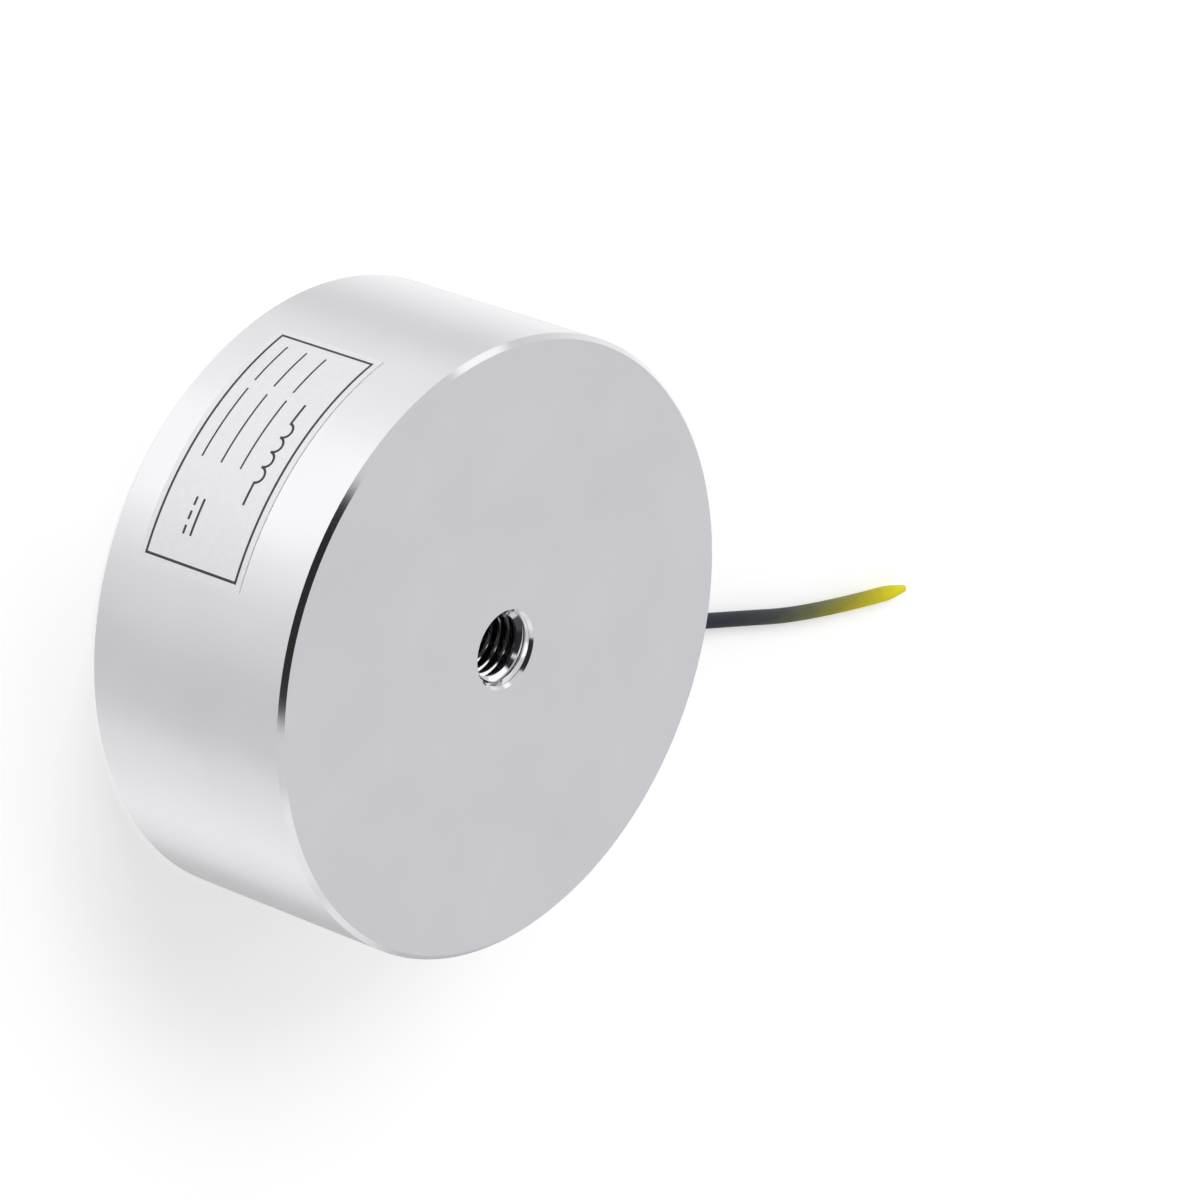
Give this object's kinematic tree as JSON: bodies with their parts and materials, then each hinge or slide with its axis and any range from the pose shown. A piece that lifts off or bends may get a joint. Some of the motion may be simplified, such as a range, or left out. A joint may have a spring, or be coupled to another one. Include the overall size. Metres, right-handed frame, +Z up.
{
  "type": "holding electromagnet",
  "caption": "Round potted holding electromagnet: steel pot with a centre pole, blind threaded hole in the mounting face, wall label and a short flexible lead.",
  "frame": {"origin": "centre of the pole face, which is the face that holds the workpiece and that the part stands on", "axes": "+Z up the axis out of the mounting face, +Y out of the wall where the lead leaves, +X by the right-hand rule"},
  "size_m": [0.1, 0.2048, 0.04],
  "materials": {
    "pot_steel": "bright zinc plate over fine turning",
    "label_film": "satin silver film",
    "cast_resin": "cast epoxy, slightly domed by surface tension",
    "fibre": "vulcanised fibre, matt",
    "bobbin_nylon": "moulded natural nylon",
    "enamelled_copper": "enamelled wire, glossy",
    "winding_tape": "polyester film tape",
    "lead_jacket": "flexible, satin",
    "bush_rubber": "moulded, matt",
    "core_insulation": "extruded, satin",
    "solder": "tinned, bright",
    "heat_shrink": "shrunk sleeve, satin"
  },
  "bodies": {
    "root": {"pot_body": "pot_steel", "groove_washer": "fibre", "coil_bobbin": "bobbin_nylon", "coil_winding": "enamelled_copper", "winding_tape": "winding_tape", "potting_resin": "cast_resin", "lead_cord": "lead_jacket", "lead_bush": "bush_rubber", "rating_label": "label_film", "core_wire_start": "core_insulation", "core_wire_finish": "core_insulation", "solder_joint_start": "solder", "solder_joint_finish": "solder", "tail_start": "enamelled_copper", "tail_finish": "enamelled_copper", "splice_sleeve_start": "heat_shrink", "splice_sleeve_finish": "heat_shrink"}
  },
  "joints": []
}
